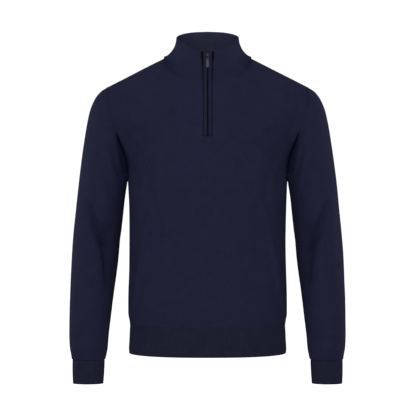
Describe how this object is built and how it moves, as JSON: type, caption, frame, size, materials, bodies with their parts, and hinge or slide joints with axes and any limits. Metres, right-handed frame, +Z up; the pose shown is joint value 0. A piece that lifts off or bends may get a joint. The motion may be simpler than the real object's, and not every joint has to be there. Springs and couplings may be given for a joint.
{
  "type": "quarter zip sweater",
  "caption": "Hollow knitted pullover with long sleeves, a stand collar, a short neck zip with a hanging pull tab, and ribbed hem and cuffs.",
  "frame": {"origin": "in the middle of the neck, at the base of the collar and level with the top of the shoulders, where the wearer holds the garment up", "axes": "+X to the wearer's left, +Y to the wearer's back, +Z up"},
  "size_m": [0.619, 0.251, 0.796],
  "materials": {
    "plain_knit": "fine plain knit in dark navy merino wool, matt with a short soft nap",
    "rib_knit": "two by two rib knit in the same dark navy wool, matt",
    "zip_tape": "narrow woven polyester tape, near black navy",
    "zip_coil": "nylon coil, black, slightly glossy",
    "zip_metal": "dark nickel plate over cast zinc, smooth with a soft gloss"
  },
  "bodies": {
    "garment": {"front_panel": "plain_knit", "back_panel": "plain_knit", "sleeve_left": "plain_knit", "sleeve_right": "plain_knit", "collar": "plain_knit", "hem_rib_front": "rib_knit", "hem_rib_back": "rib_knit", "cuff_left": "rib_knit", "cuff_right": "rib_knit", "placket_left": "plain_knit", "placket_right": "plain_knit", "placket_end": "plain_knit", "zip_tape_left": "zip_tape", "zip_tape_right": "zip_tape", "zip_coil": "zip_coil", "slider": "zip_metal"},
    "pull_tab": {"pull_tab": "zip_metal"}
  },
  "joints": [
    {"name": "pull_tab_hinge", "type": "hinge", "parent": "garment", "child": "pull_tab", "pos_m": [0, -0.08278, 0.00048], "axis": [1, 0, 0], "range_deg": [-160, 0]}
  ]
}
